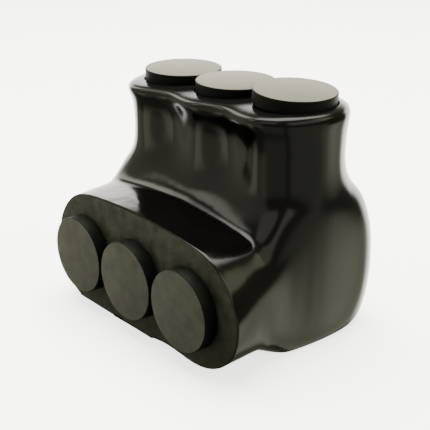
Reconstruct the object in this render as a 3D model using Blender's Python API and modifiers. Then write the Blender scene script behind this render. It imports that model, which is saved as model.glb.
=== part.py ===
"""Insulated multi-tap connector: an aluminium block with three wire ports and three set screws,
in a dip-moulded plastisol jacket, with a rubber plug in every port and every screw sleeve.

Metres, +Z up. X runs along the row of ports, the ports open towards -Y and the screws towards +Z.
The origin lies on the underside, below the middle screw.
"""

import math
from collections import namedtuple

import bmesh
import bpy
from mathutils import Vector

# The row of ports and screws
PORT_NAMES = ("left", "middle", "right")
PORT_PITCH = 0.024
CLEARANCE = 0.0003  # between pieces that touch in the real connector

# Aluminium block. Front and back are measured from the screw axes.
BLOCK_END = 0.0115  # from the last port's axis to the block's end
BLOCK_FRONT = 0.018
BLOCK_BACK = 0.0195
BLOCK_HEIGHT = 0.0327
BLOCK_CORNER = 0.008
BLOCK_EDGE = 0.0025
PORT_RADIUS = 0.0092
PORT_AXIS = 0.0139  # above the block's underside
PORT_END = 0.013  # blind end of the drilled port, behind the screw axis
PORT_CHAMFER = 0.0008
DRILL_POINT = 0.002
THREAD_CHAMFER = 0.0008

# Hex-socket set screws, backed out as delivered
SCREW_RADIUS = 0.0095
SCREW_LENGTH = 0.019
SCREW_STAND_OUT = 0.015  # of the screw's top above the block
SCREW_TRAVEL = 0.021
SCREW_CHAMFER = 0.001
SCREW_POINT = 0.0022
SOCKET_ACROSS_FLATS = 0.0079
SOCKET_DEPTH = 0.009

# Jacket walls and openings
FLOOR = 0.003
BELLY_WALL = 0.0046
PORT_MOUTH_RADIUS = 0.0105
WELL_RADIUS = 0.010
TOWER_WALL = 0.0048
TOWER_FORWARD = 0.0010  # the sleeves are a little thicker at the front
SCALLOP = 0.0029  # depth of the valleys between the sleeves
RIM_HEIGHT = 0.0301  # above the block's top
RIM_RISE = 0.0009  # over one pitch, from the hand-trimmed top
RIM_BACK = 0.0004  # how much higher the rim is at the back than over the screw axes
RIM_SHIFT = 0.0004  # of the rim towards the left
RIM_FRONT_FLARE = 0.0021
RIM_END_FLARE = 0.0010
RIM_BACK_FLARE = 0.0010
RIM_ROUND = 0.0026
CUFF_LENGTH = 0.019  # from the block's front to the cut face
CUFF_TOP_WALL = 0.0091
CUFF_BOTTOM_WALL = 0.0072
CUFF_END_WALL = 0.0079
CUFF_SKEW = 0.0012  # of the cut face towards the right
CUFF_SCALLOP = 0.0014
CUFF_TOP_RISE = -0.0002  # of its upper side over one pitch
CUFF_BOTTOM_RISE = 0.00065  # of its underside over one pitch
CUFF_CROWN = 0.0013  # fall of its upper side from the middle to the outer ports
CUFF_FULLER = 0.25  # the lower corners are squarer than the upper ones
SADDLE_RADIUS = 0.0086

# Plugs. A seat is how far a head stands above or below its place by design.
PORT_HEAD_RADIUS = 0.0116
PORT_HEAD = 0.0041
PORT_SHANK = 0.008
ACCESS_HEAD_RADIUS = 0.0117
ACCESS_HEAD = 0.0038
ACCESS_SHANK = 0.006
ACCESS_SEATS = (-0.0015, -0.0009, 0.0011)
ACCESS_TILTS = (0.0, 0.0, 2.8)  # degrees, right side down, as the hand-trimmed rim leaves them
SEAT_MARGIN = 0.00045  # round a head, so that neighbouring seats run into each other
HEAD_EDGE = 0.0004
SHANK_TAPER = 0.0004
SHANK_LEAD = 0.001

# Facets
ROUND_SEGMENTS = 32
ARC_STEPS = 3

BEYOND = 0.1  # reach of the trimming boxes, past the connector on every side

# Places that follow from the sizes above
PORT_XS = [PORT_PITCH * (i - (len(PORT_NAMES) - 1) / 2) for i in range(len(PORT_NAMES))]
LAST_PORT = PORT_XS[-1]
BLOCK_BOTTOM = FLOOR + CLEARANCE
BLOCK_TOP = BLOCK_BOTTOM + BLOCK_HEIGHT
PORT_Z = BLOCK_BOTTOM + PORT_AXIS
RIM_Z = BLOCK_TOP + RIM_HEIGHT
CUT_FACE_Y = -BLOCK_FRONT - CUFF_LENGTH
SADDLE_Z = PORT_Z + PORT_MOUTH_RADIUS + CUFF_TOP_WALL
TOWER_RADIUS = WELL_RADIUS + TOWER_WALL
SCREW_TOP = BLOCK_TOP + SCREW_STAND_OUT


def clear_scene():
    for obj in list(bpy.data.objects):
        bpy.data.objects.remove(obj, do_unlink=True)


def new_collection(name):
    collection = bpy.data.collections.new(name)
    bpy.context.scene.collection.children.link(collection)
    return collection


def new_material(name, colour, roughness, metallic=0.0):
    made = bpy.data.materials.new(name)
    made.use_nodes = True
    shader = made.node_tree.nodes["Principled BSDF"]
    shader.inputs["Base Color"].default_value = (*colour, 1.0)
    shader.inputs["Roughness"].default_value = roughness
    shader.inputs["Metallic"].default_value = metallic
    return made


def object_from(bm, name, collection):
    """The bmesh as a smooth-shaded object in the collection."""
    mesh = bpy.data.meshes.new(name)
    bm.to_mesh(mesh)
    bm.free()
    mesh.shade_smooth()
    mesh.set_sharp_from_angle(angle=math.radians(40))
    obj = bpy.data.objects.new(name, mesh)
    collection.objects.link(obj)
    return obj


def as_cutter(obj):
    obj.hide_render = True
    obj.display_type = "WIRE"
    return obj


def cut(obj, cutter):
    boolean = obj.modifiers.new(cutter.name, "BOOLEAN")
    boolean.operation = "DIFFERENCE"
    boolean.object = cutter


def box(name, low, high, collection):
    bm = bmesh.new()
    bmesh.ops.create_cube(bm, size=1.0)
    low, high = Vector(low), Vector(high)
    bmesh.ops.scale(bm, vec=high - low, verts=bm.verts)
    bmesh.ops.translate(bm, vec=(low + high) / 2, verts=bm.verts)
    return object_from(bm, name, collection)


def arc(centre, radius, start, end, steps=ARC_STEPS):
    """Points on an arc in the profile plane, with its angles in degrees from +X."""
    angles = [math.radians(start + (end - start) * i / steps) for i in range(steps + 1)]
    return [(centre[0] + radius * math.cos(a), centre[1] + radius * math.sin(a)) for a in angles]


def turned(name, profile, collection, segments=ROUND_SEGMENTS):
    """A profile of (radius, height) points, outer side from top to bottom, turned about Z."""
    mesh = bpy.data.meshes.new(name)
    points = [(radius, 0.0, height) for radius, height in profile]
    mesh.from_pydata(points, [(i, i + 1) for i in range(len(points) - 1)], [])
    obj = bpy.data.objects.new(name, mesh)
    collection.objects.link(obj)
    screw = obj.modifiers.new("turn", "SCREW")
    screw.steps = segments
    screw.render_steps = segments
    screw.use_merge_vertices = True
    screw.merge_threshold = 0.00001
    screw.use_smooth_shade = True
    return obj


# The jacket's outer skin is a shell of faces that is shaped ring by ring. The rings that lie flat
# run from the underside to the rim. The rings that stand upright run along the cuff. A ring has a
# place, a reach past the last port, and on its near and its far side a reach across, a squareness
# of the corners and a depth of the valleys between neighbouring ports.
Ring = namedtuple("Ring", "place end near far near_square far_square near_valley far_valley")
COLUMNS_PER_PITCH = 4
END_COLUMNS = 3
DEPTH_ROWS = 4
CUFF_ROWS = 6
INNER_COLUMNS = COLUMNS_PER_PITCH * (len(PORT_NAMES) - 1)
COLUMNS = INNER_COLUMNS + 2 * END_COLUMNS
CORNER_ANGLE = 45.0
NECK_PASSES = 3  # of smoothing where the cuff leaves the body

# Belly, from just below the trimmed underside: height as a share of the port axes' height, reach
# as a share of the widest, squareness of the back corners
BELLY_STATIONS = (
    (-0.04, 0.82, 3.0),
    (0.03, 0.92, 3.0),
    (0.35, 0.98, 3.2),
    (0.80, 1.00, 3.6),
    (1.25, 1.00, 3.6),
    (1.76, 0.99, 3.4),
)
FRONT_SQUARER = 0.8  # the front corners run into the cuff

# Shoulder, above the saddle: height as a share of the saddle's radius, how far the ends and the
# back have drawn in from the belly to the tower, squareness, depth of the valleys as a share
SHOULDER_STATIONS = (
    (0.30, 0.50, 0.30, 2.7, 0.0),
    (0.60, 0.80, 0.56, 2.3, 0.2),
    (1.00, 1.00, 0.84, 2.1, 0.5),
    (1.60, 1.15, 1.02, 2.0, 1.0),
)

# Rim, a thick rounded bead: drop as a share of the bead's round, share of the flare, and how far
# it has drawn in, as a share of the round
RIM_STATIONS = (
    (2.20, 0.0, 0.0),
    (0.95, 1.0, 0.0),
    (0.28, 1.0, 0.32),
    (0.00, 1.0, 1.20),
)

# Cuff: way from the saddle's foot to the cut face, reach of the ends and of the underside as
# shares of those at the cut face, squareness, depth of the valleys below as a share
CUFF_STATIONS = (
    (-0.26, 0.88, 0.94, 2.8, 0.0),
    (0.00, 0.89, 0.93, 2.5, 0.5),
    (0.50, 0.94, 0.96, 2.2, 1.0),
    (1.00, 1.00, 1.00, 1.85, 1.0),
    (1.45, 1.01, 1.00, 1.85, 1.0),
)


def between(first, second, share):
    return first + (second - first) * share


def fillet(share):
    """How far a round of radius 1 stands out at this share of its height."""
    return 1 - math.sqrt(1 - (1 - min(share, 1.0)) ** 2)


def skin_rings():
    """Flat rings, from below the underside to the rim. Near is the front and far the back."""
    end = BLOCK_END + CLEARANCE + BELLY_WALL
    front = BLOCK_FRONT + CLEARANCE + BELLY_WALL / 2
    back = BLOCK_BACK + CLEARANCE + BELLY_WALL
    tower_front = TOWER_RADIUS + TOWER_FORWARD
    rings = []
    for height, share, square in BELLY_STATIONS:
        rings.append(
            Ring(PORT_Z * height, end * share, front * share, back * share,
                 square + FRONT_SQUARER, square, 0.0, 0.0)
        )
    for height, end_share, back_share, square, valley in SHOULDER_STATIONS:
        rings.append(
            Ring(SADDLE_Z + SADDLE_RADIUS * height, between(end, TOWER_RADIUS, end_share),
                 tower_front + SADDLE_RADIUS * fillet(height), between(back, TOWER_RADIUS, back_share),
                 square, square, SCALLOP * valley, SCALLOP * valley)
        )
    for drop, flare, inset in RIM_STATIONS:
        drawn_in = RIM_ROUND * inset
        rings.append(
            Ring(RIM_Z - RIM_ROUND * drop, TOWER_RADIUS + RIM_END_FLARE * flare - drawn_in,
                 tower_front + RIM_FRONT_FLARE * flare - drawn_in,
                 TOWER_RADIUS + RIM_BACK_FLARE * flare - drawn_in, 2.0, 2.0, SCALLOP, SCALLOP)
        )
    return rings


def cuff_rings():
    """Upright rings, from the block to past the cut face. Near is below and far above the ports,
    and the place is the distance in front of the screw axes."""
    end = PORT_MOUTH_RADIUS + CUFF_END_WALL
    below = PORT_MOUTH_RADIUS + CUFF_BOTTOM_WALL
    above = PORT_MOUTH_RADIUS + CUFF_TOP_WALL
    foot = TOWER_RADIUS + TOWER_FORWARD + SADDLE_RADIUS
    return [
        Ring(between(foot, -CUT_FACE_Y, way), end * end_share, below * below_share,
             above + SADDLE_RADIUS * fillet(1 + min(way, 0.0)) / 2, square + CUFF_FULLER, square,
             CUFF_SCALLOP * valley, 0.0)
        for way, end_share, below_share, square, valley in CUFF_STATIONS
    ]


def trimmed(x, y, level, levels):
    """A shift and an extra height from the slope of the trimmed rim, fading out down the tower."""
    first = CUFF_ROWS + 2
    share = max(0.0, (level - first) / (levels - first))
    return -RIM_SHIFT * share, (RIM_RISE * x / PORT_PITCH + RIM_BACK * y / TOWER_RADIUS) * share


def side_point(end, reach, squareness, valley, angle, column):
    """A point on one long side of a ring: a superellipse round the end, and between the outer
    ports a straight run with a valley between neighbours. Distances are given unsigned."""
    power = 2 / squareness
    if min(column, COLUMNS - column) < END_COLUMNS:
        return LAST_PORT + end * math.cos(angle) ** power, reach * math.sin(angle) ** power
    x = abs(column - COLUMNS / 2) * PORT_PITCH / COLUMNS_PER_PITCH
    return x, reach - valley * math.sin(math.pi * (x - LAST_PORT) / PORT_PITCH) ** 2


def on_ring(ring, column, row, rows):
    """Place of a grid point of a ring: along the row of ports, and across it, near side first.
    Inner points of a ring's cap lie evenly between its near and its far side."""
    from_end = min(column, COLUMNS - column)
    side = 1 if column > COLUMNS / 2 else -1
    on_end = column in (0, COLUMNS) and 0 < row < rows
    if on_end:
        angle = math.radians(CORNER_ANGLE * abs(2 * row / rows - 1))
    else:
        step = (90.0 - CORNER_ANGLE) / END_COLUMNS
        angle = math.radians(CORNER_ANGLE + step * min(from_end, END_COLUMNS))
    near_x, near = side_point(ring.end, ring.near, ring.near_square, ring.near_valley, angle, column)
    far_x, far = side_point(ring.end, ring.far, ring.far_square, ring.far_valley, angle, column)
    if on_end:
        return (side * far_x, far) if row > rows / 2 else (side * near_x, -near)
    share = row / rows
    return side * (near_x + (far_x - near_x) * share), -near + (far + near) * share


def jacket_skin(collection):
    """The closed outer skin, longer than the cuff and deeper than the underside, to be trimmed."""
    flat = skin_rings()
    upright = cuff_rings()
    levels = len(flat) - 1
    bm = bmesh.new()
    bmesh.ops.create_cube(bm, size=1.0)
    bmesh.ops.translate(bm, vec=(0.5, 0.5, 0.5), verts=bm.verts)
    bmesh.ops.scale(bm, vec=(COLUMNS, DEPTH_ROWS, levels), verts=bm.verts)
    for axis, count in enumerate((COLUMNS, DEPTH_ROWS, levels)):
        for step in range(1, count):
            normal = Vector((0, 0, 0))
            normal[axis] = 1
            bmesh.ops.bisect_plane(
                bm, geom=bm.verts[:] + bm.edges[:] + bm.faces[:], plane_co=normal * step,
                plane_no=normal,
            )
    for _ in upright:
        front_y = min(v.co.y for v in bm.verts)
        front = [
            f
            for f in bm.faces
            if all(v.co.y < front_y + 0.5 for v in f.verts)
            and f.calc_center_median().z < CUFF_ROWS
        ]
        grown = bmesh.ops.extrude_face_region(bm, geom=front)["geom"]
        moved = [v for v in grown if isinstance(v, bmesh.types.BMVert)]
        bmesh.ops.translate(bm, vec=(0, -1, 0), verts=moved)
        bmesh.ops.delete(bm, geom=front, context="FACES")
    neck = []
    for v in bm.verts:
        column, row, level = (round(c) for c in v.co)
        if column in (0, COLUMNS) and row in (-1, 0, 1) and 0 < level <= CUFF_ROWS:
            neck.append(v)
        if row >= 0:
            ring = flat[level]
            x, y = on_ring(ring, column, row, DEPTH_ROWS)
            shift, rise = trimmed(x, y, level, levels)
            v.co = (x + shift, y, ring.place + rise)
        else:
            ring = upright[-row - 1]
            x, z = on_ring(ring, column, level, CUFF_ROWS)
            up = level / CUFF_ROWS
            rise = between(CUFF_BOTTOM_RISE, CUFF_TOP_RISE, up) * x / PORT_PITCH
            crown = CUFF_CROWN * up * min(1.0, (x / LAST_PORT) ** 2)
            skew = CUFF_SKEW * ring.place / -CUT_FACE_Y
            v.co = (x + skew, -ring.place, PORT_Z + z + rise - crown)
    for _ in range(NECK_PASSES):
        bmesh.ops.smooth_vert(
            bm, verts=neck, factor=0.5, use_axis_x=True, use_axis_y=True, use_axis_z=False
        )
    bmesh.ops.recalc_face_normals(bm, faces=bm.faces)
    skin = object_from(bm, "insulating_jacket", collection)
    smooth = skin.modifiers.new("smooth", "SUBSURF")
    smooth.levels = 1
    smooth.render_levels = 1
    return skin


def rounded_block(name, grow, collection):
    """The block's outline, grown on every side: upright corners rounded first, then the rest."""
    low = Vector((-LAST_PORT - BLOCK_END - grow, -BLOCK_FRONT - grow, BLOCK_BOTTOM - grow))
    high = Vector((LAST_PORT + BLOCK_END + grow, BLOCK_BACK + grow, BLOCK_TOP + grow))
    bm = bmesh.new()
    bmesh.ops.create_cube(bm, size=1.0)
    bmesh.ops.scale(bm, vec=high - low, verts=bm.verts)
    bmesh.ops.translate(bm, vec=(low + high) / 2, verts=bm.verts)
    upright = [e for e in bm.edges if abs(e.verts[0].co.z - e.verts[1].co.z) > BLOCK_HEIGHT / 2]
    bmesh.ops.bevel(
        bm, geom=upright, offset=BLOCK_CORNER + grow, segments=4, profile=0.5, affect="EDGES",
        material=-1,
    )
    level = [e for e in bm.edges if abs(e.verts[0].co.z - e.verts[1].co.z) < BLOCK_EDGE / 10]
    bmesh.ops.bevel(
        bm, geom=level, offset=BLOCK_EDGE + grow, segments=2, profile=0.5, affect="EDGES",
        material=-1,
    )
    return object_from(bm, name, collection)


def drill(name, radius, depth, run_out, chamfer, point, collection):
    """A cutter along Z that opens at its origin: straight hole, chamfered mouth, drill point."""
    profile = [
        (0.0, run_out),
        (radius + chamfer, run_out),
        (radius + chamfer, 0.0),
        (radius, -chamfer),
        (radius, -depth),
        (0.0, -depth - point),
    ]
    if not chamfer:
        profile = [(0.0, run_out), (radius, run_out), (radius, -depth), (0.0, -depth - point)]
    return as_cutter(turned(name, profile, collection))


def make_jacket(parts, cutters):
    skin = jacket_skin(parts)
    front = box(
        "cut_cuff_flat", (-BEYOND, CUT_FACE_Y - BEYOND, -BEYOND), (BEYOND, CUT_FACE_Y, BEYOND), cutters
    )
    base = box("cut_underside_flat", (-BEYOND, -BEYOND, -BEYOND), (BEYOND, BEYOND, 0.0), cutters)
    cavity = rounded_block("block_cavity", CLEARANCE, cutters)
    for cutter in (front, base, cavity):
        cut(skin, as_cutter(cutter))
    for side, x in zip(PORT_NAMES, PORT_XS):
        mouth = drill(
            "port_mouth_" + side, PORT_MOUTH_RADIUS, CUFF_LENGTH + BLOCK_EDGE, BLOCK_EDGE, 0.0, 0.0,
            cutters,
        )
        mouth.location = (x, CUT_FACE_Y, PORT_Z)
        mouth.rotation_euler.x = math.radians(90)
        well = drill(
            "screw_well_" + side, WELL_RADIUS, RIM_HEIGHT + BLOCK_EDGE, RIM_HEIGHT, 0.0, 0.0, cutters
        )
        well.location = (x, 0.0, RIM_Z)
        cut(skin, mouth)
        cut(skin, well)
    for side, x, seat, tilt in zip(PORT_NAMES, PORT_XS, access_seats(), ACCESS_TILTS):
        spot = drill(
            "plug_seat_" + side, ACCESS_HEAD_RADIUS + SEAT_MARGIN, 0.0, RIM_HEIGHT, 0.0, 0.0, cutters
        )
        spot.location = (x, 0.0, seat)
        spot.rotation_euler.y = math.radians(tilt)
        cut(skin, spot)
    return skin


def access_seats():
    """Heights of the flat seats under the access plugs' heads."""
    return [RIM_Z - CLEARANCE * 2 + lift for lift in ACCESS_SEATS]


def make_block(parts, cutters):
    block = rounded_block("connector_block", 0.0, parts)
    for side, x in zip(PORT_NAMES, PORT_XS):
        port = drill(
            "wire_port_" + side, PORT_RADIUS, BLOCK_FRONT + PORT_END, BLOCK_EDGE, PORT_CHAMFER,
            DRILL_POINT, cutters,
        )
        port.location = (x, -BLOCK_FRONT, PORT_Z)
        port.rotation_euler.x = math.radians(90)
        lowest_tip = SCREW_TOP - SCREW_LENGTH - SCREW_TRAVEL
        tapped = drill(
            "tapped_hole_" + side, SCREW_RADIUS + CLEARANCE, BLOCK_TOP - lowest_tip + CLEARANCE,
            BLOCK_EDGE, THREAD_CHAMFER, 0.0, cutters,
        )
        tapped.location = (x, 0.0, BLOCK_TOP)
        cut(block, port)
        cut(block, tapped)
    return block


def make_set_screw(side, x, parts, cutters):
    """A threaded plug with a hex socket and a blunt point. Its thread is left plain."""
    profile = [
        (0.0, 0.0),
        (SCREW_RADIUS - SCREW_CHAMFER, 0.0),
        (SCREW_RADIUS, -SCREW_CHAMFER),
        (SCREW_RADIUS, -SCREW_LENGTH + SCREW_POINT),
        (SCREW_RADIUS - SCREW_POINT, -SCREW_LENGTH),
        (0.0, -SCREW_LENGTH),
    ]
    screw = turned("set_screw_" + side, profile, parts)
    screw.location = (x, 0.0, SCREW_TOP)
    bm = bmesh.new()
    corner_radius = SOCKET_ACROSS_FLATS / math.sqrt(3)
    bmesh.ops.create_cone(
        bm, cap_ends=True, segments=6, radius1=corner_radius, radius2=corner_radius,
        depth=2 * SOCKET_DEPTH,
    )
    socket = as_cutter(object_from(bm, "hex_socket_" + side, cutters))
    socket.location = screw.location
    cut(screw, socket)
    return screw


def plug_profile(head_radius, head, shank_radius, shank):
    """Flat head with a small edge radius, over a shank that tapers to a chamfered end."""
    return [
        (0.0, head),
        *arc((head_radius - HEAD_EDGE, head - HEAD_EDGE), HEAD_EDGE, 90, 0),
        (head_radius, 0.0),
        (shank_radius, 0.0),
        (shank_radius - SHANK_TAPER, SHANK_LEAD - shank),
        (shank_radius - SHANK_TAPER - SHANK_LEAD, -shank),
        (0.0, -shank),
    ]


def make_port_plug(side, x, parts):
    profile = plug_profile(PORT_HEAD_RADIUS, PORT_HEAD, PORT_MOUTH_RADIUS - CLEARANCE, PORT_SHANK)
    plug = turned("wire_port_plug_" + side, profile, parts)
    plug.location = (x, CUT_FACE_Y - CLEARANCE, PORT_Z)
    plug.rotation_euler.x = math.radians(90)
    return plug


def make_access_plug(side, x, seat, tilt, parts):
    profile = plug_profile(ACCESS_HEAD_RADIUS, ACCESS_HEAD, WELL_RADIUS - CLEARANCE, ACCESS_SHANK)
    plug = turned("screw_access_plug_" + side, profile, parts)
    plug.location = (x, 0.0, seat + CLEARANCE)
    plug.rotation_euler.y = math.radians(tilt)
    return plug


def build():
    clear_scene()
    parts = new_collection("insulated_multi_tap_connector")
    cutters = new_collection("cutters")
    plastisol = new_material("black_plastisol", (0.012, 0.011, 0.009), 0.16)
    aluminium = new_material("bare_aluminium", (0.78, 0.78, 0.77), 0.38, 1.0)
    screw_alloy = new_material("screw_aluminium", (0.70, 0.70, 0.69), 0.32, 1.0)
    port_rubber = new_material("port_plug_rubber", (0.060, 0.060, 0.048), 0.78)
    access_rubber = new_material("access_plug_rubber", (0.075, 0.070, 0.058), 0.78)
    finished = [(make_jacket(parts, cutters), plastisol), (make_block(parts, cutters), aluminium)]
    for side, x, seat, tilt in zip(PORT_NAMES, PORT_XS, access_seats(), ACCESS_TILTS):
        finished.append((make_set_screw(side, x, parts, cutters), screw_alloy))
        finished.append((make_port_plug(side, x, parts), port_rubber))
        finished.append((make_access_plug(side, x, seat, tilt, parts), access_rubber))
    for obj, surface in finished:
        obj.data.materials.append(surface)


build()
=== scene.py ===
"""Insulated multi-tap connector: the finish and the fine shapes of every piece, in a small studio.

Metres, +Z up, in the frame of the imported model: X runs along the row of ports, the ports open
towards -Y and the set screws towards +Z. The sections follow the order of assembly.
"""

import math
from collections import namedtuple

import bmesh
import bpy
from mathutils import Matrix, Vector


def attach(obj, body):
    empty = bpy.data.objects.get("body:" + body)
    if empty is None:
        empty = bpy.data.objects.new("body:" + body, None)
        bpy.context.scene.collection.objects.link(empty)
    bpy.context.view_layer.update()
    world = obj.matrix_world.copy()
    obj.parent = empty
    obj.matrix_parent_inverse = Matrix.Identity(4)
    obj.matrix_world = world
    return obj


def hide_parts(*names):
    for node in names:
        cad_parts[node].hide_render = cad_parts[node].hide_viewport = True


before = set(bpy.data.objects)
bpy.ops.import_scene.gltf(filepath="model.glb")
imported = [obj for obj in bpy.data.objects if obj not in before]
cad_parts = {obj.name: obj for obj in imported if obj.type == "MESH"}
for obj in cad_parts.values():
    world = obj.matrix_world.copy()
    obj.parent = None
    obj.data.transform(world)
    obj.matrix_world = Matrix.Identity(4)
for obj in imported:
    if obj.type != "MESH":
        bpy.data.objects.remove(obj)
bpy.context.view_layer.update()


# Studio: a sheet of white paper under the connector, against a pale background, with a large soft
# box overhead and one on each side. It is dim behind the camera, so the black skin shows both
# bright and dark reflections.
MM = 0.001
SHARP_ANGLE = math.radians(35)


def linear(hex_colour):
    """An sRGB hex colour as linear red, green, blue and alpha."""
    parts = [int(hex_colour[i:i + 2], 16) / 255 for i in (1, 3, 5)]
    return [p / 12.92 if p <= 0.04045 else ((p + 0.055) / 1.055) ** 2.4 for p in parts] + [1.0]


def add(tree, kind, inputs=(), **settings):
    """Adds a shader node. Inputs are (socket, value) pairs, where a value can be an output."""
    node = tree.nodes.new("ShaderNode" + kind)
    for name, value in settings.items():
        setattr(node, name, value)
    for socket, value in inputs:
        if isinstance(value, bpy.types.NodeSocket):
            tree.links.new(value, node.inputs[socket])
        else:
            node.inputs[socket].default_value = value
    return node


def new_surface(name):
    """A material by that name, with its node tree and its Principled shader."""
    material = bpy.data.materials.new(name)
    material.use_nodes = True
    return material, material.node_tree, material.node_tree.nodes["Principled BSDF"]


def object_from(bm, name, materials):
    """The bmesh as an object at the origin with these materials, smooth but for its sharp edges."""
    mesh = bpy.data.meshes.new(name)
    bm.to_mesh(mesh)
    bm.free()
    for material in materials:
        mesh.materials.append(material)
    mesh.shade_smooth()
    mesh.set_sharp_from_angle(angle=SHARP_ANGLE)
    obj = bpy.data.objects.new(name, mesh)
    bpy.context.scene.collection.objects.link(obj)
    return obj


# The photograph's view: turned to the right of straight on, from a little above
VIEW_TURN = math.radians(49.5)
VIEW_HEIGHT = math.radians(21.9)
VIEW_ROLL = math.radians(0.1)
LENS = 81.3
CAMERA_PLACE = Vector((204.2, -182.2, 136.7)) * MM

backwards = Vector(
    (
        math.sin(VIEW_TURN) * math.cos(VIEW_HEIGHT),
        -math.cos(VIEW_TURN) * math.cos(VIEW_HEIGHT),
        math.sin(VIEW_HEIGHT),
    )
)
sideways = Vector((0, 0, 1)).cross(backwards).normalized()
upwards = backwards.cross(sideways)
turn = Matrix((sideways, upwards, backwards)).transposed() @ Matrix.Rotation(VIEW_ROLL, 3, "Z")
camera = bpy.data.objects.new("camera", bpy.data.cameras.new("camera"))
camera.matrix_world = Matrix.Translation(CAMERA_PLACE) @ turn.to_4x4()
camera.data.sensor_width = 36
camera.data.lens = LENS
camera.data.clip_start = 0.01
bpy.context.scene.collection.objects.link(camera)
bpy.context.scene.camera = camera


LAMP_COLOUR = "#FFFDF8"
LAMP_AIM = Vector((0.0, 0.0, 35 * MM))


def soft_box(name, place, width, height, power):
    """A rectangular area light that faces the connector. Neither the camera nor a mirror sees it."""
    light = bpy.data.lights.new(name, "AREA")
    light.shape = "RECTANGLE"
    light.size = width
    light.size_y = height
    light.energy = power
    light.color = linear(LAMP_COLOUR)[:3]
    obj = bpy.data.objects.new(name, light)
    obj.location = place
    obj.rotation_euler = (LAMP_AIM - Vector(place)).to_track_quat("-Z", "Y").to_euler()
    obj.visible_camera = False
    obj.visible_glossy = False
    bpy.context.scene.collection.objects.link(obj)


soft_box("overhead", (-0.15, 0.10, 0.75), 0.8, 0.8, 32.0)
soft_box("front_left", (-0.24, -0.16, 0.12), 0.15, 0.15, 0.55)
soft_box("right", (0.70, 0.35, 0.35), 0.4, 0.5, 8.0)

PAPER_REACH = 6.0
PAPER_DROP = 0.2 * MM
PAPER_GRAINS_PER_METRE = 900.0
PAPER_GLOW = 2.6

# White uncoated paper, matte with a faint fibre grain, lit through so that it shows almost white
paper, tree, shader = new_surface("white_paper")
place = add(tree, "TexCoord").outputs["Object"]
grain = add(tree, "TexNoise", [("Vector", place), ("Scale", PAPER_GRAINS_PER_METRE)])
tint = add(
    tree, "MixRGB",
    [("Fac", grain.outputs["Fac"]), ("Color1", linear("#F4F3EF")), ("Color2", linear("#F8F7F4"))],
)
tree.links.new(tint.outputs["Color"], shader.inputs["Base Color"])
tree.links.new(tint.outputs["Color"], shader.inputs["Emission Color"])
shader.inputs["Emission Strength"].default_value = PAPER_GLOW
shader.inputs["Roughness"].default_value = 0.9
bm = bmesh.new()
bmesh.ops.create_grid(bm, x_segments=1, y_segments=1, size=PAPER_REACH)
bmesh.ops.translate(bm, vec=(0, 0, -PAPER_DROP), verts=bm.verts)
floor = object_from(bm, "floor", [paper])
floor.visible_glossy = False
floor.visible_diffuse = False

# The studio as the glossy skin mirrors it: bright behind and above, softer on the right and dim
# elsewhere. Directions are in degrees, turned from straight behind the connector and raised from
# level. The world holds them, and the lamps light the connector without showing in its skin.
world = bpy.data.worlds.new("room")
world.use_nodes = True
bpy.context.scene.world = world
tree = world.node_tree
direction = add(tree, "TexCoord").outputs["Generated"]
away = Vector((-backwards.x, -backwards.y, 0)).normalized()
ahead = add(
    tree, "VectorMath", [(0, direction), (1, away)], operation="DOT_PRODUCT"
).outputs["Value"]
aside = add(
    tree, "VectorMath", [(0, direction), (1, sideways)], operation="DOT_PRODUCT"
).outputs["Value"]
bearing = add(tree, "Math", [(0, aside), (1, ahead)], operation="ARCTAN2").outputs["Value"]
bearing = add(tree, "Math", [(0, bearing)], operation="DEGREES").outputs["Value"]
height = add(tree, "SeparateXYZ", [("Vector", direction)]).outputs["Z"]
elevation = add(tree, "Math", [(0, height)], operation="ARCSINE").outputs["Value"]
elevation = add(tree, "Math", [(0, elevation)], operation="DEGREES").outputs["Value"]


def within(tree, angle, low, high, soft):
    """1 where the angle lies between low and high, with edges this soft, and 0 elsewhere."""
    above = add(
        tree, "MapRange", [("Value", angle), ("From Min", low - soft), ("From Max", low + soft)],
        interpolation_type="SMOOTHSTEP",
    )
    below = add(
        tree, "MapRange", [("Value", angle), ("From Min", high + soft), ("From Max", high - soft)],
        interpolation_type="SMOOTHSTEP",
    )
    return add(
        tree, "Math", [(0, above.outputs["Result"]), (1, below.outputs["Result"])],
        operation="MULTIPLY",
    ).outputs["Value"]


DIM = (0.14, 0.142, 0.10)
MIRRORED_TWICE = (0.05, 0.06, 0.05, 1.0)
BACKDROP = (2.0, 2.0, 1.97, 1.0)

# Turned from, to, raised from, to, softness across and up, brightness
BRIGHT_FIELDS = (
    (-42, 54, -34, 18, 9, 8, (5.0, 4.9, 4.6)),  # straight behind
    (-52, -30, 18, 46, 6, 8, (2.9, 2.85, 2.5)),  # its upper left
    (-60, 60, 52, 84, 12, 6, (4.4, 4.3, 3.9)),  # high behind
    (-80, -65, 33, 50, 3, 4, (1.8, 1.85, 1.6)),  # high on the left
    (-150, -98, 38, 70, 8, 8, (0.6, 0.58, 0.50)),  # over the camera
    (84, 112, 31, 60, 4, 4, (1.25, 1.35, 0.85)),  # high on the right
    (112, 175, 26, 64, 8, 8, (0.7, 0.67, 0.55)),  # high on the right, towards the camera
    (48, 110, -60, -14, 11, 4, (0.7, 0.72, 0.56)),  # low on the right
    (78, 99, -38, -17, 8, 7, (0.55, 0.57, 0.46)),  # its middle
    (108, 175, -45, 0, 8, 8, (0.3, 0.3, 0.23)),  # low beside the camera
    (-176, -118, -45, 0, 8, 8, (0.22, 0.22, 0.17)),  # low, left of the camera
    (-125, -52, -24, 36, 8, 5, (0.36, 0.34, 0.27)),  # level on the left
    (-99, -82, -32, -8, 3, 8, (0.6, 0.58, 0.44)),  # its lower stripe
)
light = add(tree, "CombineXYZ", [("X", DIM[0]), ("Y", DIM[1]), ("Z", DIM[2])]).outputs["Vector"]
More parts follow.
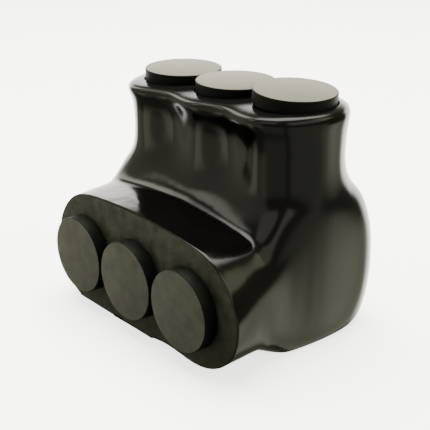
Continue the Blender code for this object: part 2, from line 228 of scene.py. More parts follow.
for left, right, low, high, soft_across, soft_up, brightness in BRIGHT_FIELDS:
    across = within(tree, bearing, left, right, soft_across)
    up = within(tree, elevation, low, high, soft_up)
    field = add(tree, "Math", [(0, across), (1, up)], operation="MULTIPLY").outputs["Value"]
    light = add(
        tree, "VectorMath", [(0, field), (1, brightness), (2, light)], operation="MULTIPLY_ADD"
    ).outputs["Vector"]

# What the skin mirrors in another part of itself is dim, as one glossy black surface in another
path = add(tree, "LightPath")
twice = add(tree, "Math", [(0, path.outputs["Glossy Depth"]), (1, 1.5)], operation="GREATER_THAN")
mirrored = add(
    tree, "MixRGB", [("Fac", twice.outputs["Value"]), ("Color1", light), ("Color2", MIRRORED_TWICE)]
)
shown = add(
    tree, "MixRGB",
    [("Fac", path.outputs["Is Camera Ray"]), ("Color1", mirrored.outputs["Color"]),
     ("Color2", BACKDROP)],
)
tree.links.new(shown.outputs["Color"], tree.nodes["Background"].inputs["Color"])


# Jacket: the insulation, one skin of black PVC plastisol that the whole block was dipped in and
# that was cured in an oven. The tops of the three screw sleeves are trimmed by hand, and the cuff
# round the wire ports is cut off flat.
PORT_PITCH = 24 * MM
PORT_XS = (-PORT_PITCH, 0.0, PORT_PITCH)
PORT_Z = 17.2 * MM
CLEARANCE = 0.3 * MM
BLOCK_END = 11.5 * MM
BLOCK_FRONT = 18 * MM
BLOCK_BACK = 19.5 * MM
BLOCK_BOTTOM = 3.3 * MM
BLOCK_TOP = 36 * MM
BLOCK_CORNER = 8 * MM
BLOCK_CORNER_STEPS = 10
BLOCK_EDGE = 2.5 * MM
BLOCK_EDGE_STEPS = 4
BELLY_WALL = 4.6 * MM
PORT_MOUTH_RADIUS = 10.5 * MM
WELL_RADIUS = 10 * MM
TOWER_RADIUS = 14.8 * MM
TOWER_FORWARD = 1.0 * MM
SCALLOP = 2.9 * MM
RIM_Z = 66.1 * MM
RIM_RISE = 0.9 * MM
RIM_BACK = 0.4 * MM
RIM_SHIFT = 0.4 * MM
RIM_FRONT_FLARE = 2.1 * MM
RIM_END_FLARE = 1.0 * MM
RIM_BACK_FLARE = 1.0 * MM
RIM_ROUND = 2.6 * MM
CUT_FACE_Y = -37 * MM
CUFF_TOP_WALL = 9.1 * MM
CUFF_BOTTOM_WALL = 7.2 * MM
CUFF_END_WALL = 7.9 * MM
CUFF_SKEW = 1.2 * MM
CUFF_SCALLOP = 1.4 * MM
CUFF_TOP_RISE = -0.2 * MM
CUFF_BOTTOM_RISE = 0.65 * MM
CUFF_CROWN = 1.3 * MM
CUFF_FULLER = 0.25
SADDLE_RADIUS = 8.6 * MM
SADDLE_Z = PORT_Z + PORT_MOUTH_RADIUS + CUFF_TOP_WALL
SEAT_RADIUS = 12.15 * MM
SEATS = ((64.0 * MM, 0.0), (64.6 * MM, 0.0), (66.6 * MM, 2.8))  # height, tilt in degrees
MOUTH_FOOT_Y = -15 * MM  # inside the cavity, where the cuts for the mouths start
WELL_FOOT_Z = 34 * MM  # the same for the wells
UNDERSIDE_EDGE = 0.4 * MM
CUT_EDGE = 0.35 * MM
BEYOND = 100 * MM
ROUND_SEGMENTS = 96

Ring = namedtuple("Ring", "place end near far near_square far_square near_valley far_valley")
COLUMNS_PER_PITCH = 4
END_COLUMNS = 3
DEPTH_ROWS = 4
CUFF_ROWS = 6
COLUMNS = COLUMNS_PER_PITCH * 2 + 2 * END_COLUMNS
CORNER_ANGLE = 45.0
NECK_ROWS = (-2, -1, 0, 1)
NECK_PASSES = 6
FIRST_SLOPED_LEVEL = CUFF_ROWS + 2
SKIN_LEVELS = 3

# Height as a share of the port axes' height, reach as a share of the widest, squareness
BELLY_STATIONS = (
    (-0.04, 0.82, 3.0),
    (0.03, 0.92, 3.0),
    (0.35, 0.98, 3.2),
    (0.80, 1.00, 3.6),
    (1.25, 1.00, 3.6),
    (1.76, 0.99, 3.4),
)
FRONT_SQUARER = 0.8

# Height as a share of the saddle's radius, way from belly to tower at the ends and at the back,
# squareness, depth of the valleys
SHOULDER_STATIONS = (
    (0.30, 0.50, 0.30, 2.7, 0.0),
    (0.60, 0.80, 0.56, 2.3, 0.2),
    (1.00, 1.00, 0.84, 2.1, 0.5),
    (1.60, 1.15, 1.02, 2.0, 1.0),
)

# Drop below the trimmed rim as a share of its round, share of the flare, share drawn in
RIM_STATIONS = (
    (3.30, 0.0, 0.0),
    (1.90, 0.50, 0.0),
    (0.85, 1.04, 0.0),
    (0.25, 1.0, 0.30),
    (0.00, 1.0, 1.20),
)

# Way from the saddle's foot to the cut face, reach of the ends and below, squareness, valleys
CUFF_STATIONS = (
    (-0.26, 0.88, 0.94, 2.8, 0.0),
    (0.00, 0.89, 0.93, 2.5, 0.5),
    (0.50, 0.94, 0.96, 2.2, 1.0),
    (1.00, 1.00, 1.00, 1.85, 1.0),
    (1.45, 1.01, 1.00, 1.85, 1.0),
)


def between(first, second, share):
    """The value at this share of the way from the first to the second."""
    return first + (second - first) * share


def fillet(share):
    """How far a round of radius 1 stands out at this share of its height."""
    return 1 - math.sqrt(1 - (1 - min(share, 1.0)) ** 2)


def skin_rings():
    """Flat rings, from below the underside to the rim. Near is the front and far the back."""
    end = BLOCK_END + CLEARANCE + BELLY_WALL
    front = BLOCK_FRONT + CLEARANCE + BELLY_WALL / 2
    back = BLOCK_BACK + CLEARANCE + BELLY_WALL
    tower_front = TOWER_RADIUS + TOWER_FORWARD
    rings = []
    for height, share, square in BELLY_STATIONS:
        rings.append(
            Ring(PORT_Z * height, end * share, front * share, back * share,
                 square + FRONT_SQUARER, square, 0.0, 0.0)
        )
    for height, end_share, back_share, square, valley in SHOULDER_STATIONS:
        rings.append(
            Ring(SADDLE_Z + SADDLE_RADIUS * height, between(end, TOWER_RADIUS, end_share),
                 tower_front + SADDLE_RADIUS * fillet(height), between(back, TOWER_RADIUS, back_share),
                 square, square, SCALLOP * valley, SCALLOP * valley)
        )
    for drop, flare, inset in RIM_STATIONS:
        drawn_in = RIM_ROUND * inset
        rings.append(
            Ring(RIM_Z - RIM_ROUND * drop, TOWER_RADIUS + RIM_END_FLARE * flare - drawn_in,
                 tower_front + RIM_FRONT_FLARE * flare - drawn_in,
                 TOWER_RADIUS + RIM_BACK_FLARE * flare - drawn_in, 2.0, 2.0, SCALLOP, SCALLOP)
        )
    return rings


def cuff_rings():
    """Upright rings, from the block to past the cut face. Near is below and far above the ports."""
    end = PORT_MOUTH_RADIUS + CUFF_END_WALL
    below = PORT_MOUTH_RADIUS + CUFF_BOTTOM_WALL
    above = PORT_MOUTH_RADIUS + CUFF_TOP_WALL
    foot = TOWER_RADIUS + TOWER_FORWARD + SADDLE_RADIUS
    return [
        Ring(between(foot, -CUT_FACE_Y, way), end * end_share, below * below_share,
             above + SADDLE_RADIUS * fillet(1 + min(way, 0.0)) / 2, square + CUFF_FULLER, square,
             CUFF_SCALLOP * valley, 0.0)
        for way, end_share, below_share, square, valley in CUFF_STATIONS
    ]


def trimmed(x, y, level, levels):
    """A shift and an extra height from the slope of the trimmed rim, fading out down the tower."""
    share = max(0.0, (level - FIRST_SLOPED_LEVEL) / (levels - FIRST_SLOPED_LEVEL))
    return -RIM_SHIFT * share, (RIM_RISE * x / PORT_PITCH + RIM_BACK * y / TOWER_RADIUS) * share


def side_point(end, reach, squareness, valley, angle, column):
    """A point on one long side of a ring: a superellipse round the end, and between the outer
    ports a straight run with a valley between neighbours. Distances are given unsigned."""
    power = 2 / squareness
    if min(column, COLUMNS - column) < END_COLUMNS:
        return PORT_PITCH + end * math.cos(angle) ** power, reach * math.sin(angle) ** power
    x = abs(column - COLUMNS / 2) * PORT_PITCH / COLUMNS_PER_PITCH
    return x, reach - valley * math.sin(math.pi * (x - PORT_PITCH) / PORT_PITCH) ** 2


def on_ring(ring, column, row, rows):
    """Place of a grid point of a ring: along the row of ports, and across it, near side first."""
    from_end = min(column, COLUMNS - column)
    side = 1 if column > COLUMNS / 2 else -1
    on_end = column in (0, COLUMNS) and 0 < row < rows
    if on_end:
        angle = math.radians(CORNER_ANGLE * abs(2 * row / rows - 1))
    else:
        step = (90.0 - CORNER_ANGLE) / END_COLUMNS
        angle = math.radians(CORNER_ANGLE + step * min(from_end, END_COLUMNS))
    near_x, near = side_point(ring.end, ring.near, ring.near_square, ring.near_valley, angle, column)
    far_x, far = side_point(ring.end, ring.far, ring.far_square, ring.far_valley, angle, column)
    if on_end:
        return (side * far_x, far) if row > rows / 2 else (side * near_x, -near)
    share = row / rows
    return side * (near_x + (far_x - near_x) * share), -near + (far + near) * share


def jacket_cage():
    """The coarse outer skin, longer than the cuff and deeper than the underside."""
    flat = skin_rings()
    upright = cuff_rings()
    levels = len(flat) - 1
    bm = bmesh.new()
    bmesh.ops.create_cube(bm, size=1.0)
    bmesh.ops.translate(bm, vec=(0.5, 0.5, 0.5), verts=bm.verts)
    bmesh.ops.scale(bm, vec=(COLUMNS, DEPTH_ROWS, levels), verts=bm.verts)
    for axis, count in enumerate((COLUMNS, DEPTH_ROWS, levels)):
        for step in range(1, count):
            normal = Vector((0, 0, 0))
            normal[axis] = 1
            bmesh.ops.bisect_plane(
                bm, geom=bm.verts[:] + bm.edges[:] + bm.faces[:], plane_co=normal * step,
                plane_no=normal,
            )
    for _ in upright:
        front_y = min(v.co.y for v in bm.verts)
        front = [
            f
            for f in bm.faces
            if all(v.co.y < front_y + 0.5 for v in f.verts)
            and f.calc_center_median().z < CUFF_ROWS
        ]
        grown = bmesh.ops.extrude_face_region(bm, geom=front)["geom"]
        moved = [v for v in grown if isinstance(v, bmesh.types.BMVert)]
        bmesh.ops.translate(bm, vec=(0, -1, 0), verts=moved)
        bmesh.ops.delete(bm, geom=front, context="FACES")
    neck = []
    for v in bm.verts:
        column, row, level = (round(c) for c in v.co)
        if column in (0, COLUMNS) and row in NECK_ROWS and 0 < level <= CUFF_ROWS:
            neck.append(v)
        if row >= 0:
            ring = flat[level]
            x, y = on_ring(ring, column, row, DEPTH_ROWS)
            shift, rise = trimmed(x, y, level, levels)
            v.co = (x + shift, y, ring.place + rise)
        else:
            ring = upright[-row - 1]
            x, z = on_ring(ring, column, level, CUFF_ROWS)
            up = level / CUFF_ROWS
            rise = between(CUFF_BOTTOM_RISE, CUFF_TOP_RISE, up) * x / PORT_PITCH
            crown = CUFF_CROWN * up * min(1.0, (x / PORT_PITCH) ** 2)
            skew = CUFF_SKEW * ring.place / -CUT_FACE_Y
            v.co = (x + skew, -ring.place, PORT_Z + z + rise - crown)
    for _ in range(NECK_PASSES):
        bmesh.ops.smooth_vert(
            bm, verts=neck, factor=0.5, use_axis_x=True, use_axis_y=True, use_axis_z=False
        )
    bmesh.ops.recalc_face_normals(bm, faces=bm.faces)
    return bm


def settle(obj):
    """Makes the object's modifiers part of its mesh."""
    graph = bpy.context.evaluated_depsgraph_get()
    mesh = bpy.data.meshes.new_from_object(obj.evaluated_get(graph), depsgraph=graph)
    obj.modifiers.clear()
    obj.data = mesh


def refine(obj, levels):
    """Subdivides the object's mesh into a smooth one."""
    modifier = obj.modifiers.new("smooth", "SUBSURF")
    modifier.levels = levels
    modifier.render_levels = levels
    settle(obj)
    return obj


def carve(obj, cutters):
    """Cuts the object with each of the cutters in turn and removes them."""
    for cutter in cutters:
        modifier = obj.modifiers.new(cutter.name, "BOOLEAN")
        modifier.operation = "DIFFERENCE"
        modifier.object = cutter
    settle(obj)
    for cutter in cutters:
        bpy.data.objects.remove(cutter)


def fill_cut(bm, cut):
    """Closes the holes that a cut left open and returns the new faces."""
    edges = [e for e in cut["geom_cut"] if isinstance(e, bmesh.types.BMEdge)]
    return bmesh.ops.holes_fill(bm, edges=edges, sides=0)["faces"]


# Shares of the chamfer by which each step of a trimmed edge goes inwards and up to the plane
EASING_STEPS = ((0.25, 0.7), (0.75, 0.3))


def trim(bm, place, normal, chamfer):
    """Cuts off what lies beyond a plane, closes the cut with an eased edge and returns its face."""
    place = Vector(place)
    normal = Vector(normal)
    cut = bmesh.ops.bisect_plane(
        bm, geom=bm.verts[:] + bm.edges[:] + bm.faces[:], plane_co=place - normal * chamfer,
        plane_no=normal, clear_outer=True,
    )
    face = fill_cut(bm, cut)
    bmesh.ops.recalc_face_normals(bm, faces=bm.faces)
    for inwards, up in EASING_STEPS:
        bmesh.ops.inset_region(
            bm, faces=face, thickness=chamfer * inwards, depth=0.0, use_even_offset=False
        )
        corners = list({v for f in face for v in f.verts})
        bmesh.ops.translate(bm, vec=normal * chamfer * up, verts=corners)
    return face


def rod(name, foot, axis, radius):
    """A long round rod from its foot along an axis, to cut with."""
    bm = bmesh.new()
    axis = Vector(axis)
    turn = Vector((0, 0, 1)).rotation_difference(axis).to_matrix().to_4x4()
    bmesh.ops.create_cone(
        bm, cap_ends=True, segments=ROUND_SEGMENTS, radius1=radius, radius2=radius, depth=BEYOND,
        matrix=Matrix.Translation(Vector(foot) + axis * BEYOND / 2) @ turn,
    )
    return object_from(bm, name, [])


def rounded_block(name, grow, materials):
    """The block's outline, grown on every side: upright corners rounded first, then the rest."""
    low = Vector((-PORT_PITCH - BLOCK_END - grow, -BLOCK_FRONT - grow, BLOCK_BOTTOM - grow))
    high = Vector((PORT_PITCH + BLOCK_END + grow, BLOCK_BACK + grow, BLOCK_TOP + grow))
    bm = bmesh.new()
    bmesh.ops.create_cube(bm, size=1.0)
    bmesh.ops.scale(bm, vec=high - low, verts=bm.verts)
    bmesh.ops.translate(bm, vec=(low + high) / 2, verts=bm.verts)
    half_height = (high.z - low.z) / 2
    upright = [e for e in bm.edges if abs(e.verts[0].co.z - e.verts[1].co.z) > half_height]
    bmesh.ops.bevel(
        bm, geom=upright, offset=BLOCK_CORNER + grow, segments=BLOCK_CORNER_STEPS, profile=0.5,
        affect="EDGES", material=-1,
    )
    level = [e for e in bm.edges if abs(e.verts[0].co.z - e.verts[1].co.z) < half_height]
    bmesh.ops.bevel(
        bm, geom=level, offset=BLOCK_EDGE + grow, segments=BLOCK_EDGE_STEPS, profile=0.5,
        affect="EDGES", material=-1,
    )
    return object_from(bm, name, materials)


# Dipped and oven-cured PVC plastisol: almost black and glossy, with the soft upright waves of a skin
# that sagged before it set and a fine orange peel. By the trimmed rim it is a little duller, and its
# colour there is painted a little lighter, a painted highlight for the light band along the rim's top.
TRIM_DEPTH = 1.6 * MM
SAG_WIDTH = 7 * MM
SAG_DEPTH = 0.25 * MM
SAG_STRETCH = 0.18
PEEL_WIDTH = 2.6 * MM
PEEL_DEPTH = 0.02 * MM
CLOUD_WIDTH = 11 * MM

plastisol, tree, shader = new_surface("dipped_pvc_plastisol")
place = add(tree, "TexCoord").outputs["Object"]
stretched = add(tree, "Mapping", [("Vector", place), ("Scale", (1.0, 1.0, SAG_STRETCH))])
sag = add(
    tree, "TexNoise",
    [("Vector", stretched.outputs["Vector"]), ("Scale", 1 / SAG_WIDTH), ("Detail", 1.0)],
)
peel = add(tree, "TexNoise", [("Vector", place), ("Scale", 1 / PEEL_WIDTH), ("Detail", 1.0)])
sag_bump = add(
    tree, "Bump", [("Height", sag.outputs["Fac"]), ("Distance", SAG_DEPTH), ("Strength", 0.5)]
)
peel_bump = add(
    tree, "Bump",
    [("Height", peel.outputs["Fac"]), ("Distance", PEEL_DEPTH), ("Strength", 0.5),
     ("Normal", sag_bump.outputs["Normal"])],
)
tree.links.new(peel_bump.outputs["Normal"], shader.inputs["Normal"])
cloud = add(tree, "TexNoise", [("Vector", place), ("Scale", 1 / CLOUD_WIDTH), ("Detail", 3.0)])
tone = add(
    tree, "MixRGB",
    [("Fac", cloud.outputs["Fac"]), ("Color1", linear("#030303")), ("Color2", linear("#060504"))],
)
gloss = add(tree, "MapRange", [("Value", cloud.outputs["Fac"]), ("To Min", 0.08), ("To Max", 0.18)])
level = add(
    tree, "VectorMath", [(0, place), (1, (-RIM_RISE / PORT_PITCH, 0, 1))], operation="DOT_PRODUCT"
)
trim_and_painted_highlight = add(
    tree, "MapRange",
    [("Value", level.outputs["Value"]), ("From Min", RIM_Z - TRIM_DEPTH), ("From Max", RIM_Z)],
    interpolation_type="SMOOTHSTEP",
)
trimmed_gloss = add(
    tree, "MapRange",
    [("Value", trim_and_painted_highlight.outputs["Result"]), ("To Min", gloss.outputs["Result"]), ("To Max", 0.22)],
)
tree.links.new(trimmed_gloss.outputs["Result"], shader.inputs["Roughness"])
# Painted highlight: the base colour turns lighter towards the top of the trimmed rim, for the light
# band it reflects there
tone_with_painted_rim_highlight = add(
    tree, "MixRGB",
    [("Fac", trim_and_painted_highlight.outputs["Result"]), ("Color1", tone.outputs["Color"]),
     ("Color2", linear("#0B0B09"))],
)
tree.links.new(tone_with_painted_rim_highlight.outputs["Color"], shader.inputs["Base Color"])
shader.inputs["IOR"].default_value = 1.53

# The same plastisol where a knife cut it: dull, grey-green and gritty, smeared along the cut
GRIT_WIDTH = 0.5 * MM
GRIT_DEPTH = 0.06 * MM
SMEAR_WIDTH = 3 * MM

cut_plastisol, tree, shader = new_surface("knife_cut_plastisol")
place = add(tree, "TexCoord").outputs["Object"]
grit = add(tree, "TexNoise", [("Vector", place), ("Scale", 1 / GRIT_WIDTH), ("Detail", 4.0)])
smear = add(tree, "TexNoise", [("Vector", place), ("Scale", 1 / SMEAR_WIDTH), ("Detail", 3.0)])
mottle = add(
    tree, "MixRGB", [("Fac", 0.6), ("Color1", grit.outputs["Fac"]), ("Color2", smear.outputs["Fac"])]
)
spread = add(
    tree, "MapRange", [("Value", mottle.outputs["Color"]), ("From Min", 0.35), ("From Max", 0.65)]
)
tone = add(
    tree, "MixRGB",
    [("Fac", spread.outputs["Result"]), ("Color1", linear("#1C1E18")), ("Color2", linear("#3A3C32"))],
)
tree.links.new(tone.outputs["Color"], shader.inputs["Base Color"])
shader.inputs["Roughness"].default_value = 0.6
bump = add(
    tree, "Bump", [("Height", grit.outputs["Fac"]), ("Distance", GRIT_DEPTH), ("Strength", 0.5)]
)
tree.links.new(bump.outputs["Normal"], shader.inputs["Normal"])

skin = refine(object_from(jacket_cage(), "plastisol_jacket", [plastisol, cut_plastisol]), SKIN_LEVELS)
bm = bmesh.new()
bm.from_mesh(skin.data)
trim(bm, (0, 0, 0), (0, 0, -1), UNDERSIDE_EDGE)
cut_face = trim(bm, (0, CUT_FACE_Y, 0), (0, -1, 0), CUT_EDGE)
for f in cut_face:
    f.material_index = 1
bmesh.ops.triangulate(bm, faces=cut_face)
bm.to_mesh(skin.data)
bm.free()

cutters = [rounded_block("cavity", CLEARANCE, [])]
for x, (seat, tilt) in zip(PORT_XS, SEATS):
    leaning = (math.sin(math.radians(tilt)), 0.0, math.cos(math.radians(tilt)))
    cutters.append(rod("mouth", (x, MOUTH_FOOT_Y, PORT_Z), (0, -1, 0), PORT_MOUTH_RADIUS))
    cutters.append(rod("well", (x, 0, WELL_FOOT_Z), (0, 0, 1), WELL_RADIUS))
    cutters.append(rod("seat", (x, 0, seat), leaning, SEAT_RADIUS))
carve(skin, cutters)
skin.data.shade_smooth()
skin.data.set_sharp_from_angle(angle=SHARP_ANGLE)
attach(skin, "connector")
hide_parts("insulating_jacket")


# Block: the conductor, a length of extruded aluminium with three wire ports drilled from the
# front and three tapped holes from the top. The jacket holds it on all sides.
PORT_RADIUS = 9.2 * MM
PORT_FLOOR_Y = 13 * MM
DRILL_POINT = 2 * MM
MOUTH_CHAMFER = 0.8 * MM
TAPPED_FLOOR_Z = 10.7 * MM
LATHE_MERGE = 0.001 * MM
THREAD_MERGE = 0.02 * MM
THREAD_PITCH = 1.6 * MM
THREAD_DEPTH = 0.7 * MM
THREAD_STEPS = 60
THREAD_LEAD_IN = 1.5 * THREAD_PITCH
THREAD_EXTRA_TURNS = 3
THREAD_FOOT_Z = 25 * MM  # the thread runs out where the hole meets the port
TAPPED_RADIUS = 9.65 * MM  # inside the thread, clear of the screw's crests
TAP_UNDERCUT = 0.1 * MM  # the tap's root lies this far inside the bore, so that no two walls meet
OVERRUN = 10 * MM

# The cuts are turned on their axes by unlike angles, so that none of their corners meet
BORE_TURN = math.radians(0.7)
PILOT_TURN = math.radians(1.1)
TAP_TURN = math.radians(2.3)

# A thread's flank over one pitch: share of the pitch, and whether it is at the crest
THREAD_PROFILE = ((0.0, False), (0.12, False), (0.44, True), (0.68, True), (1.0, False))


def turned(name, profile, materials, place=Matrix()):
    """A profile of (radius, height) points from the axis out and back to it, turned about Z."""
    bm = bmesh.new()
    corners = [bm.verts.new((radius, 0, height)) for radius, height in profile]
    line = [bm.edges.new(pair) for pair in zip(corners, corners[1:])]
    bmesh.ops.spin(
        bm, geom=corners + line, cent=(0, 0, 0), axis=(0, 0, 1), dvec=(0, 0, 0), angle=math.tau,
        steps=ROUND_SEGMENTS, use_merge=True,
    )
    bmesh.ops.remove_doubles(bm, verts=bm.verts, dist=LATHE_MERGE)
    bmesh.ops.recalc_face_normals(bm, faces=bm.faces)
    bmesh.ops.transform(bm, matrix=place, verts=bm.verts)
    return object_from(bm, name, materials)


def threaded_rod(name, crest, depth, low, high, materials):
    """A rod along Z with a helical thread that is cut square at both ends. The helix starts below
    the lower cut and runs on above the upper one, so that whole turns cross both."""
    bm = bmesh.new()
    start = low - THREAD_LEAD_IN
    corners = [
        bm.verts.new((crest if at_crest else crest - depth, 0, start + THREAD_PITCH * share))
        for share, at_crest in THREAD_PROFILE
    ]
    line = [bm.edges.new(pair) for pair in zip(corners, corners[1:])]
    turns = math.ceil((high - low) / THREAD_PITCH) + THREAD_EXTRA_TURNS
    bmesh.ops.spin(
        bm, geom=corners + line, cent=(0, 0, 0), axis=(0, 0, 1),
        dvec=(0, 0, THREAD_PITCH / THREAD_STEPS), angle=math.tau * turns,
        steps=THREAD_STEPS * turns,
    )
    bmesh.ops.remove_doubles(bm, verts=bm.verts, dist=THREAD_MERGE)
    for height, side in ((low, -1), (high, 1)):
        cut = bmesh.ops.bisect_plane(
            bm, geom=bm.verts[:] + bm.edges[:] + bm.faces[:], plane_co=(0, 0, height),
            plane_no=(0, 0, side), clear_outer=True,
        )
        fill_cut(bm, cut)
    bmesh.ops.recalc_face_normals(bm, faces=bm.faces)
    return object_from(bm, name, materials)


# Extruded aluminium: bright grey, streaked along the length that came through the die
DRAW_WIDTH = 0.3 * MM
DRAW_STRETCH = 0.02

aluminium, tree, shader = new_surface("extruded_aluminium")
place = add(tree, "TexCoord").outputs["Object"]
drawn = add(tree, "Mapping", [("Vector", place), ("Scale", (DRAW_STRETCH, 1.0, 1.0))])
streaks = add(
    tree, "TexNoise",
    [("Vector", drawn.outputs["Vector"]), ("Scale", 1 / DRAW_WIDTH), ("Detail", 3.0)],
)
shine = add(
    tree, "MapRange", [("Value", streaks.outputs["Fac"]), ("To Min", 0.25), ("To Max", 0.45)]
)
tree.links.new(shine.outputs["Result"], shader.inputs["Roughness"])
shader.inputs["Base Color"].default_value = linear("#DCDCDA")
shader.inputs["Metallic"].default_value = 1.0

block = rounded_block("aluminium_block", 0.0, [aluminium])
out_of_port = Matrix.Rotation(math.radians(90), 4, "X")
port_depth = PORT_FLOOR_Y + BLOCK_FRONT
bore_profile = (
    (0.0, OVERRUN),
    (PORT_RADIUS + MOUTH_CHAMFER, OVERRUN),
    (PORT_RADIUS + MOUTH_CHAMFER, 0.0),
    (PORT_RADIUS, -MOUTH_CHAMFER),
    (PORT_RADIUS, -port_depth),
    (0.0, -port_depth - DRILL_POINT),
)
cutters = []
for x in PORT_XS:
    bore = turned("bore", bore_profile, [], Matrix.Rotation(BORE_TURN, 4, "Z"))
    bore.data.transform(Matrix.Translation((x, -BLOCK_FRONT, PORT_Z)) @ out_of_port)
    pilot = rod("pilot", (0, 0, TAPPED_FLOOR_Z), (0, 0, 1), TAPPED_RADIUS)
    pilot.data.transform(Matrix.Translation((x, 0, 0)) @ Matrix.Rotation(PILOT_TURN, 4, "Z"))
    tap = threaded_rod(
        "tap", TAPPED_RADIUS + THREAD_DEPTH, THREAD_DEPTH + TAP_UNDERCUT, THREAD_FOOT_Z,
        BLOCK_TOP + MM, [],
    )
    tap.data.transform(Matrix.Translation((x, 0, 0)) @ Matrix.Rotation(TAP_TURN, 4, "Z"))
    cutters += [bore, pilot, tap]
carve(block, cutters)
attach(block, "connector")
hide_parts("connector_block")


# Set screws: aluminium plugs with a fine thread and a hex socket, turned from bar. They press the
# wires down in their ports, and are delivered backed out so that the ports are free.
SCREW_RADIUS = 9.45 * MM
SCREW_TOP = 51 * MM
SCREW_LENGTH = 19 * MM
SCREW_CHAMFER = 1.0 * MM
SCREW_POINT = 2.2 * MM
SOCKET_ACROSS_FLATS = 7.9 * MM
SOCKET_DEPTH = 9 * MM
THREAD_SHARP_ANGLE = math.radians(30)

# Aluminium turned from bar: brighter than the block, with fine rings from the lathe
LATHE_RING = 0.12 * MM
LATHE_DEPTH = 0.01 * MM
LATHE_STRETCH = 0.04

turned_bar, tree, shader = new_surface("turned_aluminium")
place = add(tree, "TexCoord").outputs["Object"]
ringed = add(tree, "Mapping", [("Vector", place), ("Scale", (LATHE_STRETCH, LATHE_STRETCH, 1.0))])
rings = add(
    tree, "TexNoise",
    [("Vector", ringed.outputs["Vector"]), ("Scale", 1 / LATHE_RING), ("Detail", 2.0)],
)
shine = add(tree, "MapRange", [("Value", rings.outputs["Fac"]), ("To Min", 0.18), ("To Max", 0.40)])
tree.links.new(shine.outputs["Result"], shader.inputs["Roughness"])
bump = add(
    tree, "Bump", [("Height", rings.outputs["Fac"]), ("Distance", LATHE_DEPTH), ("Strength", 0.4)]
)
tree.links.new(bump.outputs["Normal"], shader.inputs["Normal"])
shader.inputs["Base Color"].default_value = linear("#D2D2D0")
shader.inputs["Metallic"].default_value = 1.0

SIDES = ("left", "middle", "right")
corner_radius = SOCKET_ACROSS_FLATS / math.sqrt(3)
for side, x in zip(SIDES, PORT_XS):
    screw = threaded_rod(
        "threaded_set_screw_" + side, SCREW_RADIUS, THREAD_DEPTH, -SCREW_LENGTH, 0.0, [turned_bar]
    )
    for v in screw.data.vertices:
        at_top = SCREW_RADIUS - SCREW_CHAMFER - v.co.z
        at_point = SCREW_RADIUS - SCREW_POINT + v.co.z + SCREW_LENGTH
        widest = min(at_top, at_point)
        reach = v.co.xy.length
        if reach > widest:
            v.co.xy *= widest / reach
    bm = bmesh.new()
    bmesh.ops.create_cone(
        bm, cap_ends=True, segments=6, radius1=corner_radius, radius2=corner_radius,
        depth=2 * SOCKET_DEPTH,
    )
    carve(screw, [object_from(bm, "socket", [turned_bar])])
    screw.data.transform(Matrix.Translation((x, 0, SCREW_TOP)))
    screw.data.shade_smooth()
    screw.data.set_sharp_from_angle(angle=THREAD_SHARP_ANGLE)
    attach(screw, "set_screw_" + side)
    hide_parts("set_screw_" + side)


# Plugs: moulded black rubber, pushed into the wire ports and the screw sleeves to keep them clean
# until the wires go in. The flat faces carry a pale bloom and painted light, paler on the tops and
# darker on the fronts for how the light falls on them, and the moulded sides stay black.
PORT_HEAD_RADIUS = 11.6 * MM
PORT_HEAD = 4.1 * MM
PORT_SHANK = 8 * MM
ACCESS_HEAD_RADIUS = 11.7 * MM
ACCESS_HEAD = 3.8 * MM
ACCESS_SHANK = 6 * MM
HEAD_EDGE = 0.3 * MM
HEAD_UNDERSIDE_EDGE = 0.15 * MM
HEAD_EDGE_STEPS = 6
FACE_TOLERANCE = 0.02 * MM
SHANK_TAPER = 0.4 * MM
SHANK_LEAD = 1.0 * MM
BLOOM_WIDTH = 4 * MM
GRAIN_WIDTH = 0.35 * MM
GRAIN_DEPTH = 0.03 * MM


def rubber(name, pale, dark, rough_low, rough_high, fleck, sheen, glint):
    """Rubber between two colours, with its roughness range, share of fine flecks, sheen and
    strength of highlights."""
    material, tree, shader = new_surface(name)
    place = add(tree, "TexCoord").outputs["Object"]
    bloom = add(tree, "TexNoise", [("Vector", place), ("Scale", 1 / BLOOM_WIDTH), ("Detail", 4.0)])
    grain = add(tree, "TexNoise", [("Vector", place), ("Scale", 1 / GRAIN_WIDTH), ("Detail", 3.0)])
    mottle = add(
        tree, "MixRGB",
        [("Fac", fleck), ("Color1", bloom.outputs["Fac"]), ("Color2", grain.outputs["Fac"])],
    )
    spread = add(
        tree, "MapRange", [("Value", mottle.outputs["Color"]), ("From Min", 0.3), ("From Max", 0.7)]
    )
    tone = add(
        tree, "MixRGB",
        [("Fac", spread.outputs["Result"]), ("Color1", linear(dark)), ("Color2", linear(pale))],
    )
    tree.links.new(tone.outputs["Color"], shader.inputs["Base Color"])
    shine = add(
        tree, "MapRange",
        [("Value", bloom.outputs["Fac"]), ("To Min", rough_low), ("To Max", rough_high)],
    )
    tree.links.new(shine.outputs["Result"], shader.inputs["Roughness"])
    bump = add(
        tree, "Bump", [("Height", grain.outputs["Fac"]), ("Distance", GRAIN_DEPTH), ("Strength", 0.4)]
    )
    tree.links.new(bump.outputs["Normal"], shader.inputs["Normal"])
    shader.inputs["Sheen Weight"].default_value = sheen
    shader.inputs["Specular IOR Level"].default_value = glint
    shader.inputs["Sheen Roughness"].default_value = 0.4
    shader.inputs["Sheen Tint"].default_value = linear("#FFF3D6")
    return material


# Moulded against a flat plate, with a grey bloom come to the surface, and painted paler still as a
# highlight of the light from above: a pale, softly lit disc
bloom_and_painted_light_top = rubber("bloomed_rubber_top_painted_light", "#4A4A3F", "#32322A", 0.40, 0.52, 0.35, 0.3, 0.5)
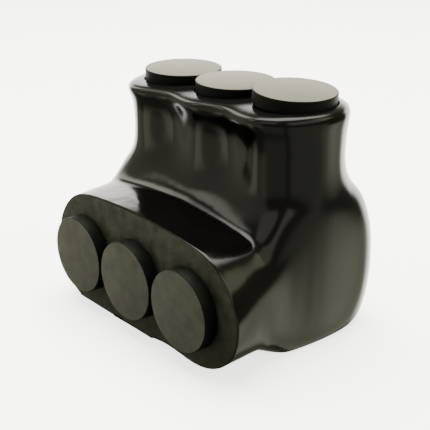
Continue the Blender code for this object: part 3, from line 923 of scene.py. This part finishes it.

# The same bloom on the upright faces of the port plugs, cooler and less velvety, with painted
# shade: a darker copy of the tops' rubber, for faces that get less of the light
bloom_and_painted_shade_front = rubber("bloomed_rubber_front_painted_shade", "#4E5248", "#2C2F2A", 0.42, 0.55, 0.35, 0.15, 0.5)

# Moulded against the walls of the cavity and rubbed clean in handling: black, hardly a highlight
moulded = rubber("moulded_rubber_side", "#0C0D09", "#050604", 0.4, 0.6, 0.4, 0.0, 0.2)


def plug(name, head_radius, head, shank_radius, shank, face_finish, place):
    """A flat head over a shank that tapers to a chamfered end, turned and then put in its place."""
    angles = [
        math.radians(90 * step / HEAD_EDGE_STEPS) for step in range(HEAD_EDGE_STEPS + 1)
    ]
    edge = [
        (head_radius - HEAD_EDGE * (1 - math.sin(a)), head - HEAD_EDGE * (1 - math.cos(a)))
        for a in angles
    ]
    profile = [
        (0.0, head),
        *edge,
        (head_radius, HEAD_UNDERSIDE_EDGE),
        (head_radius - HEAD_UNDERSIDE_EDGE, 0.0),
        (shank_radius, 0.0),
        (shank_radius - SHANK_TAPER, SHANK_LEAD - shank),
        (shank_radius - SHANK_TAPER - SHANK_LEAD, -shank),
        (0.0, -shank),
    ]
    obj = turned(name, profile, [moulded, face_finish])
    for face in obj.data.polygons:
        if face.center.z > head - FACE_TOLERANCE:
            face.material_index = 1
    obj.data.transform(place)
    return obj


for side, x, (seat, tilt) in zip(SIDES, PORT_XS, SEATS):
    into_port = Matrix.Translation((x, CUT_FACE_Y - CLEARANCE, PORT_Z)) @ out_of_port
    port_plug = plug(
        "rubber_port_plug_" + side, PORT_HEAD_RADIUS, PORT_HEAD, PORT_MOUTH_RADIUS - CLEARANCE,
        PORT_SHANK, bloom_and_painted_shade_front, into_port,
    )
    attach(port_plug, "wire_port_plug_" + side)
    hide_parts("wire_port_plug_" + side)
    leaning = Matrix.Rotation(math.radians(tilt), 4, "Y")
    into_sleeve = Matrix.Translation((x, 0, seat + CLEARANCE)) @ leaning
    access_plug = plug(
        "rubber_access_plug_" + side, ACCESS_HEAD_RADIUS, ACCESS_HEAD, WELL_RADIUS - CLEARANCE,
        ACCESS_SHANK, bloom_and_painted_light_top, into_sleeve,
    )
    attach(access_plug, "screw_access_plug_" + side)
    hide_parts("screw_access_plug_" + side)
